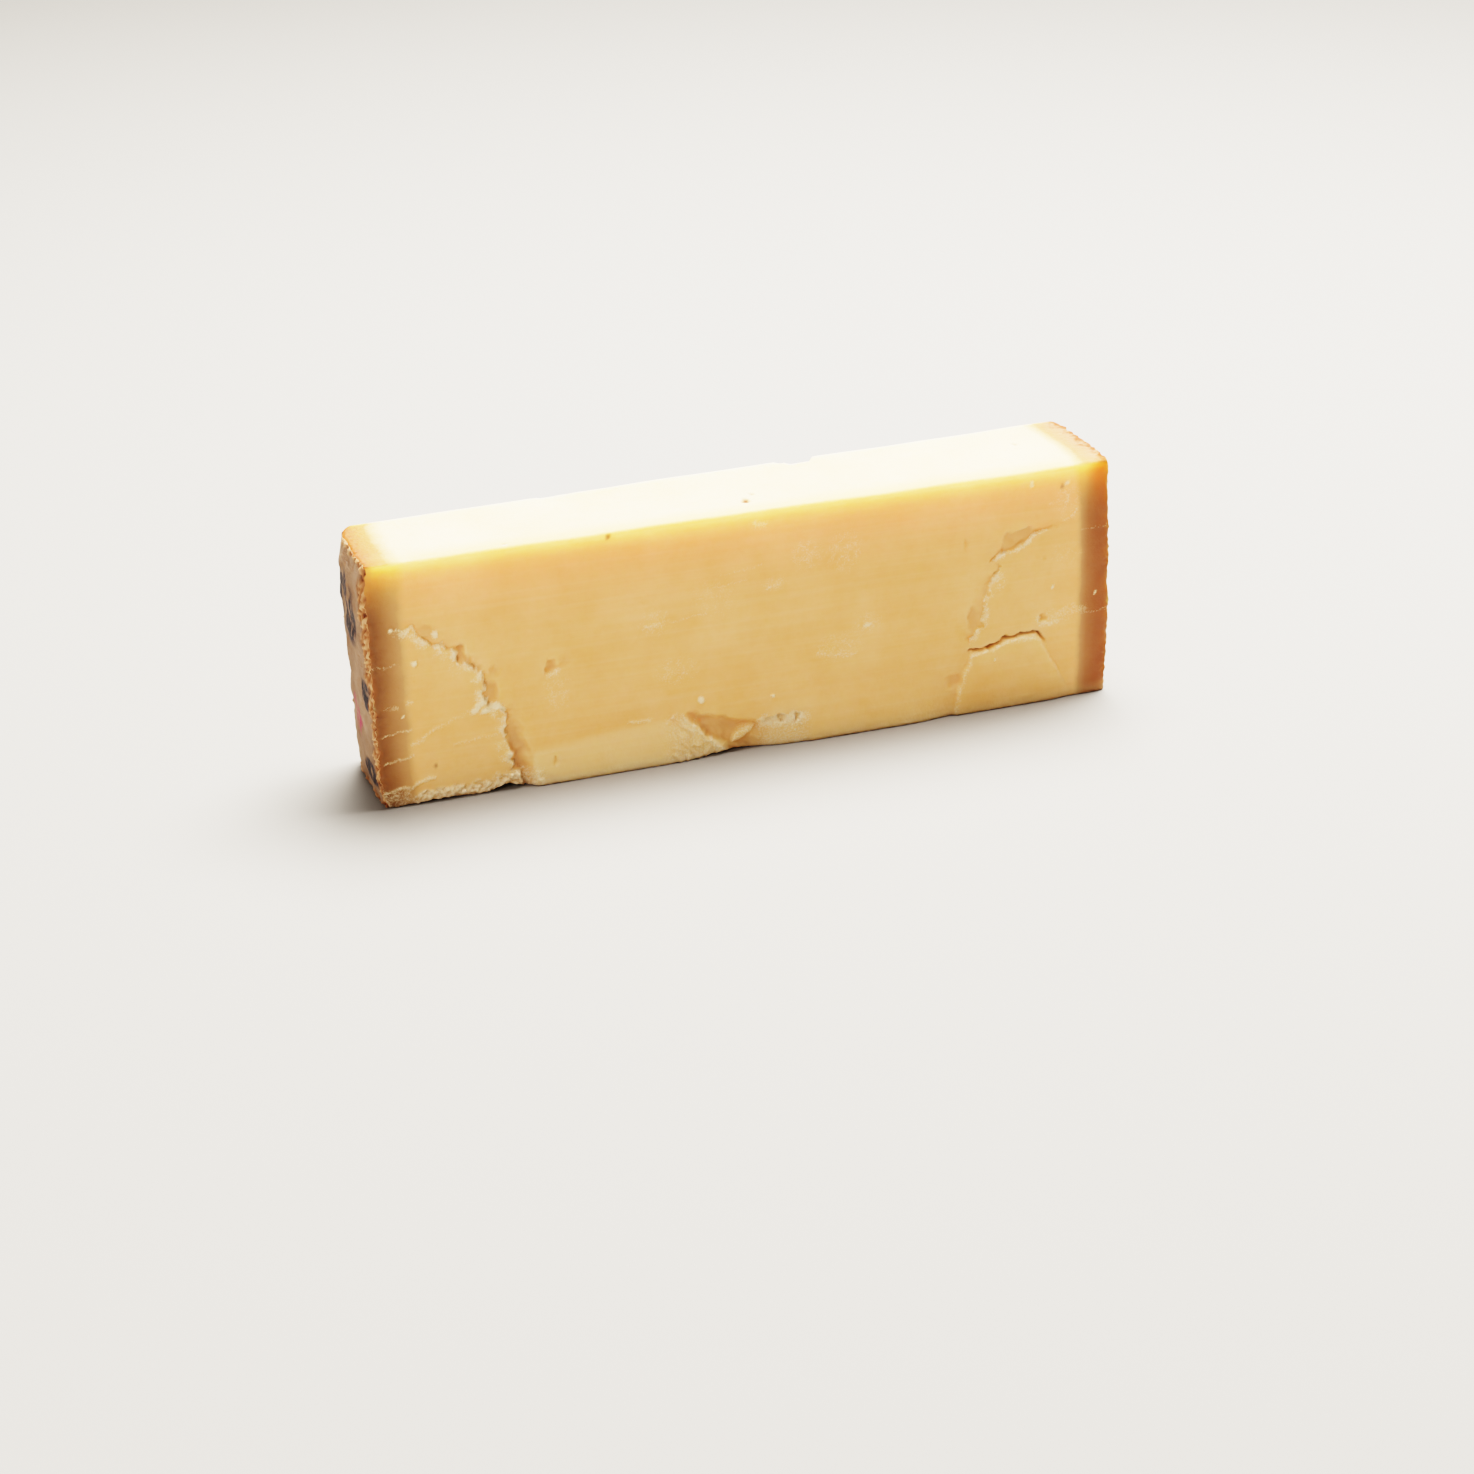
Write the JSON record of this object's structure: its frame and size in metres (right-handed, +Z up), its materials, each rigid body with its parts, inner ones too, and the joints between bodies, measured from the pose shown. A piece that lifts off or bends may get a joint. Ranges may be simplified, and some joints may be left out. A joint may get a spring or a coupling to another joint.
{
  "type": "cheese wedge",
  "caption": "Long, slightly wedge-shaped slab of aged hard cheese lying on its side, cut across the wheel with rind at its short ends, its front cut cracked and broken.",
  "frame": {"origin": "centre of the bounding box at its base, on the surface the slab lies on", "axes": "+X along the slab from the printed rind end to the plain rind end, +Y from the cracked front cut to the back cut, +Z up"},
  "size_m": [0.195, 0.0374, 0.0633],
  "materials": {
    "paste": "translucent pale yellow hard-cheese paste, knife-cut, slightly greasy; brown-orange rind on the short ends"
  },
  "bodies": {
    "root": {"cheese_slab": "paste"}
  },
  "joints": []
}
